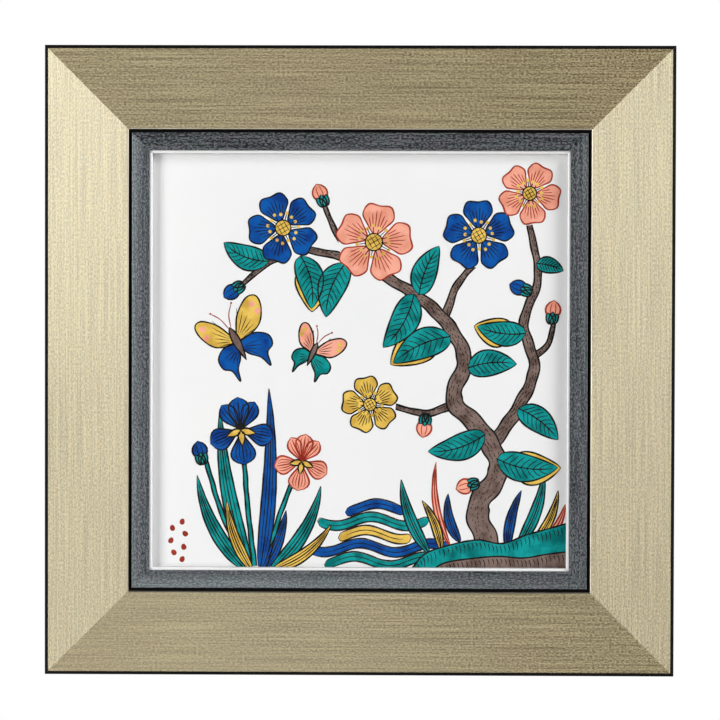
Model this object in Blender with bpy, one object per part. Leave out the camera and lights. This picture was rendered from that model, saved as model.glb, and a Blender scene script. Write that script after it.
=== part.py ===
"""Framed ceramic wall plaque: a square glazed tile in a mitred double frame, made to hang on one nail.

Metres, +Z up. X runs across the plaque, the picture side faces -Y and the wall is the plane y = 0.
The origin is in that plane, under the middle notch of the toothed hanger, where the nail leaves the wall.
"""
import math

import bmesh
import bpy
from mathutils import Matrix, Vector

# The tile, which the frame is made round
TILE_WIDTH = 0.242
TILE_HEIGHT = 0.242
TILE_THICKNESS = 0.007
TILE_EDGE_RADIUS = 0.0006

# What shows of each ring, from the tile outwards
FILLET_SIGHT = 0.0015
FILLET_TUCK = 0.0011
LINER_SIGHT = 0.0103
LIP_FLAT = 0.0003
STEP_SLOPE = 0.0008
FACE_WIDTH = 0.0463
OUTER_RADIUS = 0.0018

# Heights and roundings of the moulding's steps, from the tile forwards
FILLET_FOOT = 0.0037
FILLET_RADIUS = 0.0012
LINER_SIGHT_THICKNESS = 0.0010
LINER_SIGHT_RADIUS = 0.0002
LINER_RISE = 0.0007
LINER_CROWN = 0.00025
LINER_EDGE_RADIUS = 0.0005
LINER_DROP = 0.0010
STEP_DEPTH = 0.0026
LIP_THICKNESS = 0.0017
LIP_RADIUS = 0.0003
FACE_EDGE_RADIUS = 0.0008
FOIL_EDGE_RADIUS = 0.0003

# The back of the moulding
LIP_OVERHANG = 0.006
BACK_EDGE_CHAMFER = 0.0006

# Every small screw
SHANK_RADIUS = 0.00125
SHANK_LENGTH = 0.0115
SHANK_POINT = 0.0025
HEAD_RADIUS = 0.0028
HEAD_HEIGHT = 0.0015
RECESS_SPAN = 0.0034
RECESS_WIDTH = 0.0008
RECESS_FLOOR = 0.0006

# The backing board, and the room round and behind its screws' heads
BOARD_THICKNESS = 0.003
BOARD_SCREW_INSET = 0.054
HEAD_SIDE_ROOM = 0.0012
HEAD_WALL_ROOM = 0.0024

# The toothed hanger, let into the middle of the top rail's back, and the pocket for the nail's head
HANGER_WIDTH = 0.060
HANGER_RISE = 0.0098
HANGER_LAP = 0.0038
HANGER_THICKNESS = 0.0012
HANGER_CORNER_RADIUS = 0.0015
HANGER_SCREW_INSET = 0.005
HANGER_WALL_ROOM = 0.0003
TOOTH_DEPTH = 0.0012
TOOTH_PITCH = 0.003
POCKET_DEPTH = 0.010
POCKET_BELOW = 0.011
POCKET_RADIUS = 0.004
POCKET_SIDE_WALL = 0.0035

# Every two pieces that touch keep this gap
CLEARANCE = 0.0003

# Facets
ROUND_SEGMENTS = 24
ARC_STEPS = 5
LINER_FACE_STEPS = 8
CUT_MARGIN = 0.001

# Sizes that follow from the ones above
STEP_SIGHT = CLEARANCE + LIP_RADIUS + LIP_FLAT + STEP_SLOPE
FILLET_THICKNESS = FILLET_FOOT + FILLET_RADIUS
LEDGE_WIDTH = 2 * (HEAD_RADIUS + HEAD_SIDE_ROOM)
HOLE_RADIUS = SHANK_RADIUS + CLEARANCE

# Distances outwards from the tile's edge, in the plane of the picture
FILLET_INSIDE = -(FILLET_TUCK + FILLET_SIGHT)
LINER_INSIDE = -FILLET_TUCK
LINER_RABBET = CLEARANCE
LINER_FACE_OUTSIDE = LINER_INSIDE + LINER_SIGHT
RAIL_INSIDE = LINER_FACE_OUTSIDE + CLEARANCE
FACE_INSIDE = LINER_FACE_OUTSIDE + STEP_SIGHT
FACE_OUTSIDE = FACE_INSIDE + FACE_WIDTH
RAIL_OUTSIDE = FACE_OUTSIDE + OUTER_RADIUS
RAIL_RABBET = RAIL_INSIDE + LIP_OVERHANG
RAIL_LEDGE = RAIL_RABBET + LEDGE_WIDTH
LINER_OUTSIDE = RAIL_RABBET - CLEARANCE
BOARD_OUTSIDE = RAIL_LEDGE - CLEARANCE
BOARD_SCREW_LINE = RAIL_RABBET + LEDGE_WIDTH / 2

# Distances forwards from the wall
BOARD_HEAD_UNDERSIDE = HEAD_WALL_ROOM + HEAD_HEIGHT
BOARD_BACK = BOARD_HEAD_UNDERSIDE + CLEARANCE
BOARD_FRONT = BOARD_BACK + BOARD_THICKNESS
TILE_BACK = BOARD_FRONT + CLEARANCE
TILE_FRONT = TILE_BACK + TILE_THICKNESS
FILLET_BACK = TILE_FRONT + CLEARANCE
FILLET_FRONT = FILLET_BACK + FILLET_THICKNESS
LINER_UNDERSIDE = FILLET_FRONT + CLEARANCE
LINER_INNER_LEVEL = LINER_UNDERSIDE + LINER_SIGHT_THICKNESS
LINER_OUTER_LEVEL = LINER_INNER_LEVEL - LINER_RISE
FACE_FRONT = LINER_OUTER_LEVEL + LINER_DROP
LIP_FRONT = FACE_FRONT - STEP_DEPTH
LIP_UNDERSIDE = LIP_FRONT - LIP_THICKNESS
LINER_FLANGE = LIP_UNDERSIDE - CLEARANCE

HANGER_HEAD_UNDERSIDE = HANGER_WALL_ROOM + HEAD_HEIGHT
HANGER_BACK = HANGER_HEAD_UNDERSIDE + CLEARANCE
HANGER_FRONT = HANGER_BACK + HANGER_THICKNESS
HANGER_REBATE = HANGER_FRONT + CLEARANCE

# Places round the nail, across and up from it
HANGER_SCREW_X = HANGER_WIDTH / 2 - HANGER_SCREW_INSET
HANGER_SCREW_RISE = (HANGER_RISE - TOOTH_DEPTH) / 2
POCKET_SIDE = HANGER_SCREW_X - HOLE_RADIUS - POCKET_SIDE_WALL
POCKET_ABOVE = HANGER_RISE - HANGER_LAP
TEETH_EACH_SIDE = int(POCKET_SIDE / TOOTH_PITCH)

# The nail is at the middle of the top rail's flat back, and the tile's middle hangs below it
NAIL_DROP = (RAIL_OUTSIDE - RAIL_LEDGE) / 2
CENTRE_Z = NAIL_DROP - (TILE_HEIGHT / 2 + RAIL_OUTSIDE)

SIDES = {"top": 0, "right": 90, "bottom": 180, "left": 270}


def clear_scene():
    for thing in list(bpy.data.objects):
        bpy.data.objects.remove(thing)


def finish(name, color, roughness, metallic):
    material = bpy.data.materials.new(name)
    material.use_nodes = True
    shader = material.node_tree.nodes["Principled BSDF"]
    shader.inputs["Base Color"].default_value = (*color, 1)
    shader.inputs["Roughness"].default_value = roughness
    shader.inputs["Metallic"].default_value = metallic
    material.diffuse_color = (*color, 1)
    return material


def add_object(name, form, *materials, parent=None):
    """Turn a bmesh into a named object with its materials."""
    bmesh.ops.recalc_face_normals(form, faces=form.faces)
    mesh = bpy.data.meshes.new(name)
    form.to_mesh(mesh)
    form.free()
    for material in materials:
        mesh.materials.append(material)
    thing = bpy.data.objects.new(name, mesh)
    bpy.context.scene.collection.objects.link(thing)
    thing.parent = parent
    return thing


def smooth(thing, angle=35):
    thing.data.shade_smooth()
    thing.data.set_sharp_from_angle(angle=math.radians(angle))


def arc(centre, radius, start, end, steps=ARC_STEPS):
    """Points on an arc, angles in degrees from the outward direction towards the front."""
    turns = [math.radians(start + (end - start) * step / steps) for step in range(steps + 1)]
    return [(centre[0] + radius * math.cos(turn), centre[1] + radius * math.sin(turn)) for turn in turns]


def rail_profile():
    """Section of the outer moulding, as (outwards from the tile, forwards from the wall)."""
    back_outside = [(RAIL_OUTSIDE - BACK_EDGE_CHAMFER, 0), (RAIL_OUTSIDE, BACK_EDGE_CHAMFER)]
    round_front = FACE_FRONT - FOIL_EDGE_RADIUS
    outer_edge = arc((FACE_OUTSIDE, round_front - OUTER_RADIUS), OUTER_RADIUS, 0, 90)
    foil_edge = arc((FACE_OUTSIDE - FOIL_EDGE_RADIUS, round_front), FOIL_EDGE_RADIUS, 0, 90, 3)
    inner_centre = (FACE_INSIDE + FACE_EDGE_RADIUS, FACE_FRONT - FACE_EDGE_RADIUS)
    inner_edge = arc(inner_centre, FACE_EDGE_RADIUS, 90, 180)
    step_foot = [(FACE_INSIDE - STEP_SLOPE, LIP_FRONT)]
    lip_edge = arc((RAIL_INSIDE + LIP_RADIUS, LIP_FRONT - LIP_RADIUS), LIP_RADIUS, 90, 180, 3)
    rabbets = [(RAIL_INSIDE, LIP_UNDERSIDE), (RAIL_RABBET, LIP_UNDERSIDE), (RAIL_RABBET, TILE_BACK),
               (RAIL_LEDGE, TILE_BACK), (RAIL_LEDGE, 0)]
    return back_outside + outer_edge[:-1] + foil_edge + inner_edge + step_foot + lip_edge + rabbets


def liner_profile():
    """Section of the liner, whose slightly crowned face rises towards the tile."""
    outside = [(LINER_OUTSIDE, TILE_BACK), (LINER_OUTSIDE, LINER_FLANGE), (LINER_FACE_OUTSIDE, LINER_FLANGE)]
    outer_centre = (LINER_FACE_OUTSIDE - LINER_EDGE_RADIUS, LINER_OUTER_LEVEL - LINER_EDGE_RADIUS)
    inner_centre = (LINER_INSIDE + LINER_SIGHT_RADIUS, LINER_INNER_LEVEL - LINER_SIGHT_RADIUS)
    face = []
    for step in range(1, LINER_FACE_STEPS):
        share = step / LINER_FACE_STEPS
        across = outer_centre[0] + (inner_centre[0] - outer_centre[0]) * share
        level = LINER_OUTER_LEVEL + (LINER_INNER_LEVEL - LINER_OUTER_LEVEL) * share
        face.append((across, level + LINER_CROWN * 4 * share * (1 - share)))
    outer_edge = arc(outer_centre, LINER_EDGE_RADIUS, 0, 90)
    inner_edge = arc(inner_centre, LINER_SIGHT_RADIUS, 90, 180, 3)
    rabbet = [(LINER_INSIDE, LINER_UNDERSIDE), (LINER_RABBET, LINER_UNDERSIDE), (LINER_RABBET, TILE_BACK)]
    return outside + outer_edge + face + inner_edge + rabbet


def fillet_profile():
    """Section of the silver strip, rounded where it shows."""
    centre = (FILLET_INSIDE + FILLET_RADIUS, FILLET_FRONT - FILLET_RADIUS)
    sight_edge = arc(centre, FILLET_RADIUS, 90, 180)
    return [(0, FILLET_BACK), (0, FILLET_FRONT)] + sight_edge + [(FILLET_INSIDE, FILLET_BACK)]


def mitred_length(name, profile, side, parent, *materials, is_second=None):
    """One mitred length of a moulding, with its section run along one side of the tile.

    A face takes the second material where is_second says yes to the middle of its edge in the section.
    """
    turn = SIDES[side]
    is_upright = side in ("left", "right")
    half_along = (TILE_HEIGHT if is_upright else TILE_WIDTH) / 2
    half_across = (TILE_WIDTH if is_upright else TILE_HEIGHT) / 2
    mitre_setback = CLEARANCE / math.sqrt(2)
    form = bmesh.new()
    ends = []
    for direction in (-1, 1):
        end = []
        for out, front in profile:
            along = half_along + out - mitre_setback
            end.append(form.verts.new((direction * along, -front, half_across + out)))
        form.faces.new(end)
        ends.append(end)
    count = len(profile)
    for index in range(count):
        following = (index + 1) % count
        face = form.faces.new((ends[0][index], ends[0][following], ends[1][following], ends[1][index]))
        if is_second:
            out = (profile[index][0] + profile[following][0]) / 2
            front = (profile[index][1] + profile[following][1]) / 2
            face.material_index = 1 if is_second(out, front) else 0
    length = add_object(name, form, *materials, parent=parent)
    length.rotation_euler.y = math.radians(turn)
    smooth(length)
    return length


def is_painted_black(out, front):
    """The foil covers only the flat face and its eased edges; the rest of the moulding is black."""
    return out < FACE_INSIDE or out > FACE_OUTSIDE or front < FACE_FRONT - FACE_EDGE_RADIUS


def box(name, low, high, parent, *materials):
    """A block between two corners."""
    size = Vector(high) - Vector(low)
    middle = (Vector(high) + Vector(low)) / 2
    form = bmesh.new()
    bmesh.ops.create_cube(form, size=1, matrix=Matrix.Diagonal((*size, 1)))
    thing = add_object(name, form, *materials, parent=parent)
    thing.location = middle
    return thing


def sheet(name, outside, back, front, parent, *materials):
    """A flat piece that reaches the given distance outside the tile's edges."""
    across = TILE_WIDTH / 2 + outside
    up = TILE_HEIGHT / 2 + outside
    return box(name, (-across, -front, -up), (across, -back, up), parent, *materials)


def as_cutter(thing):
    thing.hide_render = True
    thing.display_type = "WIRE"
    return thing


def cut(thing, cutter):
    modifier = thing.modifiers.new("cut " + cutter.name, "BOOLEAN")
    modifier.operation = "DIFFERENCE"
    modifier.solver = "EXACT"
    modifier.object = cutter


def soften(thing, width, segments=2):
    modifier = thing.modifiers.new("eased edges", "BEVEL")
    modifier.width = width
    modifier.segments = segments


def router_cutter(name, low, high, radius, parent):
    """A pocket with round corners, cut from the back by a router."""
    form = bmesh.new()
    corners = ((high[0] - radius, high[2] - radius, 0), (low[0] + radius, high[2] - radius, 90),
               (low[0] + radius, low[2] + radius, 180), (high[0] - radius, low[2] + radius, 270))
    outline = []
    for across, up, start in corners:
        outline += arc((across, up), radius, start, start + 90)
    face = form.faces.new([form.verts.new((across, high[1], up)) for across, up in outline])
    grown = bmesh.ops.extrude_face_region(form, geom=[face])
    moved = [item for item in grown["geom"] if isinstance(item, bmesh.types.BMVert)]
    bmesh.ops.translate(form, verts=moved, vec=(0, low[1] - high[1], 0))
    return as_cutter(add_object(name, form, parent=parent))


def hole_cutter(name, places, back, front, parent):
    """Screw holes along Y at the given places (x, z), from back to front, in one cutter."""
    form = bmesh.new()
    depth = front - back
    for across, up in places:
        middle = Matrix.Translation((across, -(front + back) / 2, up))
        lie_along_y = Matrix.Rotation(math.radians(90), 4, "X")
        bmesh.ops.create_cone(form, cap_ends=True, segments=ROUND_SEGMENTS, radius1=HOLE_RADIUS,
                              radius2=HOLE_RADIUS, depth=depth, matrix=middle @ lie_along_y)
    return as_cutter(add_object(name, form, parent=parent))


def screw_mesh(material):
    """A pan-head wood screw with a cross recess; its head's underside is at y = 0 and it points along -Y."""
    dome = [(HEAD_RADIUS * math.sin(turn), HEAD_HEIGHT * math.cos(turn))
            for turn in (math.radians(90 * step / ARC_STEPS) for step in range(ARC_STEPS + 1))]
    shank = [(SHANK_RADIUS, 0), (SHANK_RADIUS, SHANK_POINT - SHANK_LENGTH), (0, -SHANK_LENGTH)]
    form = bmesh.new()
    points = [form.verts.new((radius, level, 0)) for radius, level in dome + shank]
    edges = [form.edges.new(pair) for pair in zip(points, points[1:])]
    bmesh.ops.spin(form, geom=points + edges, cent=(0, 0, 0), axis=(0, 1, 0), angle=math.tau,
                   steps=ROUND_SEGMENTS, use_merge=True)
    bmesh.ops.remove_doubles(form, verts=form.verts, dist=0.000001)
    blank = add_object("screw blank", form, material)
    top = HEAD_HEIGHT + CUT_MARGIN
    long = RECESS_SPAN / 2
    narrow = RECESS_WIDTH / 2
    for name, across, up in (("slot", long, narrow), ("cross slot", narrow, long)):
        cut(blank, as_cutter(box(name, (-across, RECESS_FLOOR, -up), (across, top, up), None)))
    bpy.context.view_layer.update()
    seen = blank.evaluated_get(bpy.context.evaluated_depsgraph_get())
    mesh = bpy.data.meshes.new_from_object(seen)
    mesh.name = "screw"
    mesh.shade_smooth()
    mesh.set_sharp_from_angle(angle=math.radians(35))
    for helper in (blank, *[modifier.object for modifier in blank.modifiers]):
        bpy.data.objects.remove(helper)
    return mesh


def place_screw(name, mesh, across, underside, up, parent):
    screw = bpy.data.objects.new(name, mesh)
    bpy.context.scene.collection.objects.link(screw)
    screw.parent = parent
    screw.location = (across, -underside, up)
    return screw


def hanger_outline():
    """The plate's outline as (x, z) from the middle notch, with the teeth along its lower edge."""
    half = HANGER_WIDTH / 2
    radius = HANGER_CORNER_RADIUS
    half_pitch = TOOTH_PITCH / 2
    teeth = [(-(2 * TEETH_EACH_SIDE + 1) * half_pitch, -TOOTH_DEPTH)]
    for tooth in range(-TEETH_EACH_SIDE, TEETH_EACH_SIDE + 1):
        notch = tooth * TOOTH_PITCH
        teeth += [(notch, 0), (notch + half_pitch, -TOOTH_DEPTH)]
    lower_left = arc((radius - half, radius - TOOTH_DEPTH), radius, 180, 270, 3)
    lower_right = arc((half - radius, radius - TOOTH_DEPTH), radius, 270, 360, 3)
    upper_right = arc((half - radius, HANGER_RISE - radius), radius, 0, 90, 3)
    upper_left = arc((radius - half, HANGER_RISE - radius), radius, 90, 180, 3)
    return lower_left + teeth + lower_right + upper_right + upper_left


def hanger(parent, material):
    form = bmesh.new()
    face = form.faces.new([form.verts.new((across, -HANGER_BACK, up)) for across, up in hanger_outline()])
    grown = bmesh.ops.extrude_face_region(form, geom=[face])
    moved = [item for item in grown["geom"] if isinstance(item, bmesh.types.BMVert)]
    bmesh.ops.translate(form, verts=moved, vec=(0, -HANGER_THICKNESS, 0))
    return add_object("hanger_plate", form, material, parent=parent)


def board_screw_places():
    """Two screws in each rail's ledge, as (x, z) from the tile's middle."""
    beside = TILE_WIDTH / 2 + BOARD_SCREW_LINE
    above = TILE_HEIGHT / 2 + BOARD_SCREW_LINE
    across_in = TILE_WIDTH / 2 + BOARD_OUTSIDE - BOARD_SCREW_INSET
    up_in = TILE_HEIGHT / 2 + BOARD_OUTSIDE - BOARD_SCREW_INSET
    level = [(across, up) for up in (above, -above) for across in (-across_in, across_in)]
    upright = [(across, up) for across in (-beside, beside) for up in (up_in, -up_in)]
    return level + upright


def build():
    clear_scene()
    gold = finish("champagne_gold_foil", (0.66, 0.60, 0.44), 0.34, 0.9)
    black = finish("black_paint", (0.012, 0.011, 0.010), 0.38, 0)
    slate = finish("slate_grey_grain", (0.10, 0.11, 0.12), 0.5, 0.1)
    silver = finish("silver_strip", (0.86, 0.86, 0.85), 0.22, 1)
    glaze = finish("white_glaze", (0.90, 0.90, 0.89), 0.08, 0)
    board = finish("brown_hardboard", (0.24, 0.13, 0.07), 0.7, 0)
    zinc = finish("zinc_plated_steel", (0.62, 0.62, 0.60), 0.35, 1)

    plaque = bpy.data.objects.new("plaque", None)
    bpy.context.scene.collection.objects.link(plaque)
    plaque.location.z = CENTRE_Z
    nail = bpy.data.objects.new("nail", None)
    bpy.context.scene.collection.objects.link(nail)

    rails = {}
    for side in SIDES:
        rails[side] = mitred_length(f"frame_rail_{side}", rail_profile(), side, plaque, gold, black,
                                    is_second=is_painted_black)
        mitred_length(f"liner_rail_{side}", liner_profile(), side, plaque, slate)
        mitred_length(f"fillet_{side}", fillet_profile(), side, plaque, silver)

    tile = sheet("ceramic_tile", 0, TILE_BACK, TILE_FRONT, plaque, glaze)
    soften(tile, TILE_EDGE_RADIUS)
    backing = sheet("backing_board", BOARD_OUTSIDE, BOARD_BACK, BOARD_FRONT, plaque, board)

    places = board_screw_places()
    holes = hole_cutter("board_screw_holes", places, BOARD_BACK - CUT_MARGIN,
                        BOARD_HEAD_UNDERSIDE + SHANK_LENGTH + CLEARANCE, plaque)
    for piece in (backing, *rails.values()):
        cut(piece, holes)
    screw = screw_mesh(zinc)
    for number, (across, up) in enumerate(places, 1):
        place_screw(f"board_screw_{number}", screw, across, BOARD_HEAD_UNDERSIDE, up, plaque)

    plate = hanger(nail, zinc)
    hanger_places = [(-HANGER_SCREW_X, HANGER_SCREW_RISE), (HANGER_SCREW_X, HANGER_SCREW_RISE)]
    hanger_holes = hole_cutter("hanger_screw_holes", hanger_places, -CUT_MARGIN,
                               HANGER_HEAD_UNDERSIDE + SHANK_LENGTH + CLEARANCE, nail)
    rebate_half = HANGER_WIDTH / 2 + CLEARANCE
    rebate = router_cutter("hanger_rebate", (-rebate_half, -HANGER_REBATE, -TOOTH_DEPTH - CLEARANCE),
                           (rebate_half, CUT_MARGIN, HANGER_RISE + CLEARANCE), HANGER_CORNER_RADIUS, nail)
    pocket = router_cutter("nail_pocket", (-POCKET_SIDE, -POCKET_DEPTH, -POCKET_BELOW),
                           (POCKET_SIDE, CUT_MARGIN, POCKET_ABOVE), POCKET_RADIUS, nail)
    cut(plate, hanger_holes)
    for cutter in (rebate, pocket, hanger_holes):
        cut(rails["top"], cutter)
    for name, (across, up) in zip(("hanger_screw_left", "hanger_screw_right"), hanger_places):
        place_screw(name, screw, across, HANGER_HEAD_UNDERSIDE, up, nail)


build()
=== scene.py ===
"""Looks of the framed ceramic wall plaque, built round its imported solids.

Metres, +Z up. X runs across the plaque, the picture faces -Y and the wall is the plane y = 0.
"Outwards" is measured from the tile's edge in the plane of the picture, "forwards" from the wall.
"""

import math
import random

import bmesh
import bpy
from mathutils import Matrix, Vector
from mathutils.geometry import tessellate_polygon


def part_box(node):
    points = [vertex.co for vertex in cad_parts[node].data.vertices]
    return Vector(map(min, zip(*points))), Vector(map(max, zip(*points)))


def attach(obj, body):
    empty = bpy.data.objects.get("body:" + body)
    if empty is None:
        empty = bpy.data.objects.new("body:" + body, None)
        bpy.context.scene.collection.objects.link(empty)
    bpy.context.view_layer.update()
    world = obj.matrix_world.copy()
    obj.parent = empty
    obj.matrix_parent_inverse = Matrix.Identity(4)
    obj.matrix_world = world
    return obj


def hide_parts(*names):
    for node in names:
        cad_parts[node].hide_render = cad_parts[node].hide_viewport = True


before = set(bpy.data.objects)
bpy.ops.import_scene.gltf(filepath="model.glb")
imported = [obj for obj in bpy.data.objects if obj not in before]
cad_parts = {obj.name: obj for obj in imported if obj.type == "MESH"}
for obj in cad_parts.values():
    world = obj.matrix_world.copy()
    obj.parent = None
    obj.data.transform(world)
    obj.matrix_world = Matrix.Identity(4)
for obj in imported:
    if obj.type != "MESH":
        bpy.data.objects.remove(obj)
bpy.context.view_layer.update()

MM = 0.001
CLEARANCE = 0.3 * MM

# The photograph's view: a long lens a little above and to the right of the plaque's middle
CAMERA_DISTANCE = 1.600
CAMERA_ACROSS = 0.0185
CAMERA_ABOVE = 0.0333
CAMERA_PITCH = -1.186
CAMERA_ROLL = -0.151
CAMERA_YAW = 0.663
SENSOR_WIDTH = 36.0
LENS = 138.38

# What the solids' boxes say of the tile and of each ring
TILE_LOW, TILE_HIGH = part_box("ceramic_tile")
TILE_MIDDLE = (TILE_LOW + TILE_HIGH) / 2
HALF_WIDTH = (TILE_HIGH.x - TILE_LOW.x) / 2
HALF_HEIGHT = (TILE_HIGH.z - TILE_LOW.z) / 2
TILE_FRONT = -TILE_LOW.y
TILE_BACK = -TILE_HIGH.y


def ring_of(node):
    """How far a right-hand length reaches inwards, outwards, back and forwards."""
    low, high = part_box(node)
    return low.x - HALF_WIDTH, high.x - HALF_WIDTH, -high.y, -low.y


RAIL_INSIDE, RAIL_OUTSIDE, _, FACE_FRONT = ring_of("frame_rail_right")
LINER_INSIDE, LINER_OUTSIDE = ring_of("liner_rail_right")[:2]
FILLET_INSIDE, FILLET_OUTSIDE, FILLET_BACK, FILLET_FRONT = ring_of("fillet_right")
BOARD_OUTSIDE = ring_of("backing_board")[1]

# Steps and roundings of the outer moulding
FACE_WIDTH = 46.3 * MM
OUTER_RADIUS = 1.8 * MM
FOIL_EDGE_RADIUS = 0.3 * MM
FACE_EDGE_RADIUS = 0.8 * MM
STEP_SLOPE = 0.8 * MM
STEP_DEPTH = 2.6 * MM
LIP_THICKNESS = 1.7 * MM
LIP_RADIUS = 0.3 * MM
BACK_EDGE_CHAMFER = 0.6 * MM
FACE_OUTSIDE = RAIL_OUTSIDE - OUTER_RADIUS
FACE_INSIDE = FACE_OUTSIDE - FACE_WIDTH
LIP_FRONT = FACE_FRONT - STEP_DEPTH
LIP_UNDERSIDE = LIP_FRONT - LIP_THICKNESS
RAIL_RABBET = LINER_OUTSIDE + CLEARANCE
RAIL_LEDGE = BOARD_OUTSIDE + CLEARANCE

# Steps and roundings of the liner and of the silver fillet
LINER_SIGHT_THICKNESS = 1.0 * MM
LINER_SIGHT_RADIUS = 0.2 * MM
LINER_CROWN = 0.25 * MM
LINER_RISE = 0.7 * MM
LINER_EDGE_RADIUS = 0.5 * MM
FILLET_RADIUS = 1.2 * MM
LINER_FACE_OUTSIDE = RAIL_INSIDE - CLEARANCE
LINER_FLANGE = LIP_UNDERSIDE - CLEARANCE
LINER_UNDERSIDE = FILLET_FRONT + CLEARANCE
LINER_RABBET = CLEARANCE

# The hanger's rebate and the nail's pocket in the back of the top rail
HANGER_CORNER_RADIUS = 1.5 * MM
POCKET_RADIUS = 4.0 * MM
POCKET_SIDE = 19.95 * MM
POCKET_DEPTH = 10.0 * MM
POCKET_BELOW = 11.0 * MM
POCKET_ABOVE = 6.0 * MM

# The mitres' gap, how fine an arc is, which edges stay sharp, which faces count as wide, and the
# tile's softened edges
MITRE_GAP = 0.05 * MM
ARC_STEPS = 8
SHARP_ANGLE = 35
FLAT_AREA = 0.0003
TILE_EDGE_RADIUS = 0.6 * MM

# The painted picture: its colours, each deep and pale, and in millimetres how thick the paint lies and
# how a brush moves
ENAMEL_COLORS = ("white", "green", "blue", "brown", "yellow", "coral", "red", "black")
ENAMEL_TONES = {
    "green": ((0.003, 0.165, 0.160), (0.008, 0.335, 0.330)),
    "blue": ((0.006, 0.042, 0.22), (0.006, 0.100, 0.40)),
    "brown": ((0.11, 0.070, 0.058), (0.235, 0.165, 0.142)),
    "yellow": ((0.60, 0.36, 0.060), (0.84, 0.57, 0.115)),
    "coral": ((0.78, 0.30, 0.20), (0.93, 0.42, 0.31)),
    "red": ((0.26, 0.025, 0.014), (0.40, 0.045, 0.025)),
    "black": ((0.010, 0.010, 0.010), (0.018, 0.017, 0.016)),
}
PAINTER_SEED = 5
PAINT_EDGE = 119.6
PAINT_FOOT = -0.02
FIRST_FILM = 0.03
LAYER_STEP = 0.05
LINE_RISE = 0.013
STROKE_HEIGHTS = 9
STROKE_STEP = 0.0012
CREST_SHARE = 0.8
UNEVEN_PRESS = 0.12
PRESS_WAVE = 0.7
BRUSH_LIFT = 4.0
BRUSH_SPACING = 1.2
OUTLINE = 1.1
THIN_OUTLINE = OUTLINE * 0.9
HATCHING = 0.62

# The layer that each motif lies on, from the glaze up, and how many layers a part stands over its neighbour
LAYERS = {"stream": 0, "petals": 0, "grass": 0.5, "butterflies": 1, "iris leaves": 1, "limbs": 1.5, "bank": 2,
          "irises": 2.5, "leaves": 3, "buds": 3, "blossoms": 3.5}
OVER = 0.5

# Leaves and petals: lines and rims in millimetres, places as shares of the length and the half width
BLADE_SPACING = 1.6
BLADE_ROUNDNESS = 0.75
RIB = OUTLINE * 0.85
RIB_LENGTH = 0.92
VEINS_FROM = 0.10
VEINS_SPAN = 0.70
VEIN_POINTS = ((0, 0), (0.07, 0.42), (0.15, 0.80))
STRAND_FROM = 0.06
STRAND_SPAN = 0.80
RIM_START = 0.25
RIM_WIDTH = 1.3
RIM_REACH = 1.8

# Limbs, blossoms, buds and butterflies
KNOTS = 0.10
KNOT_WAVE = 0.5
BARK_ROWS = (-0.45, 0.1, 0.5)
PETALS = 5
PETAL_TURN = 360 / PETALS
PETAL_EDGE = ((-17, 0.24), (-30, 0.52), (-31, 0.78), (-17, 0.98), (0, 0.93),
              (17, 0.98), (31, 0.78), (30, 0.52), (17, 0.24))
FRONT_WING = ((0.05, 0.02), (0.10, 0.26), (0.34, 0.66), (0.74, 0.94), (1.0, 0.86), (0.96, 0.50), (0.66, 0.14))
HIND_WING = ((0.05, 0.0), (0.48, 0.04), (0.80, -0.16), (0.80, -0.44), (0.58, -0.58), (0.50, -0.92),
             (0.38, -0.62), (0.12, -0.34))
WING_SPOTS = ((0.80, 0.72), (0.84, 0.50))
FEELER = ((0.03, 0.42), (0.14, 0.75), (0.34, 1.0))
STAMENS = 15
STAMEN_TURN = 360 / STAMENS
HEART_SHARE = 0.22
BUD_LENGTH = 12
BUD_WIDTH = 8.5

# Irises: each petal's angle from the stem, its reach and its width as shares of the flower's size
IRIS_RAISED = ((58, 0.95, 0.50), (122, 0.95, 0.50), (90, 1.0, 0.62))
IRIS_FALLING = ((198, 1.0, 0.66), (342, 1.0, 0.66), (270, 1.05, 0.74))

# Where the motifs go, across and up from the tile's middle, with their sizes, slants and colours
BLOSSOMS = (((8, 68), 22.5, "coral", 8), ((-44, 76), 20.5, "blue", 40), ((68, 72), 20.5, "blue", 20),
            ((97, 96), 18, "coral", 62), ((6, -25), 16.5, "yellow", 30))
BUDS = (((-20.5, 90), 112, "coral"), ((-68, 43), 215, "blue"), ((110, 23), 84, "coral"),
        ((38, -32), 262, "coral"), ((97, 40), 160, "blue"), ((67, -70), 196, "coral"))
LIMBS = (
    (((74, -106), (68, -84), (80, -62), (70, -40), (54, -22), (60, 2), (46, 26), (22, 44), (-6, 58),
      (-32, 64)), 13, 3.2),
    (((76, -48), (90, -28), (100, -4), (94, 22), (102, 48), (97, 78)), 7.5, 3.0),
    (((54, -25), (38, -30), (20, -26)), 4.5, 2.5),
    (((49, 26), (56, 44), (68, 58)), 4.5, 2.5),
    (((-4, 59), (-14, 74), (-20, 88)), 3.5, 2.0),
    (((99, 2), (108, 10), (111, 22)), 3.5, 2.0),
    (((-30, 65), (-52, 56), (-67.5, 43.5)), 3.2, 2.2),
)
LEAVES = (
    ((62, -4), 5, 28, 15, 2, None), ((52, 14), 205, 36, 17, -3, "yellow"), ((31, 38), 240, 35, 16, 3, None),
    ((-8, 56), 250, 33, 16, -3, None), ((-34, 60), 282, 31, 15, 3, "yellow"), ((34, 38), 68, 30, 14, 2, None),
    ((95, 16), 172, 28, 14, 2, "yellow"), ((91, -27), 322, 29, 14, 2, None),
    ((79, -56), 352, 35, 16, -3, "yellow"), ((72, -42), 197, 34, 15, 3, None),
    ((101, 56), 345, 16, 9, 1, None), ((-52, 57), 158, 28, 14, 3, None),
)
LEAF_VEINS = 7
WATER = (("blue", -8, 26), ("green", -24, 40), ("yellow", -12, 30), ("blue", -30, 54), ("green", -20, 60))
WATER_TOP = -84.5
WATER_PITCH = 7.6
WATER_HALF_WIDTH = 2.7
WATER_END = 3.2
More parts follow.
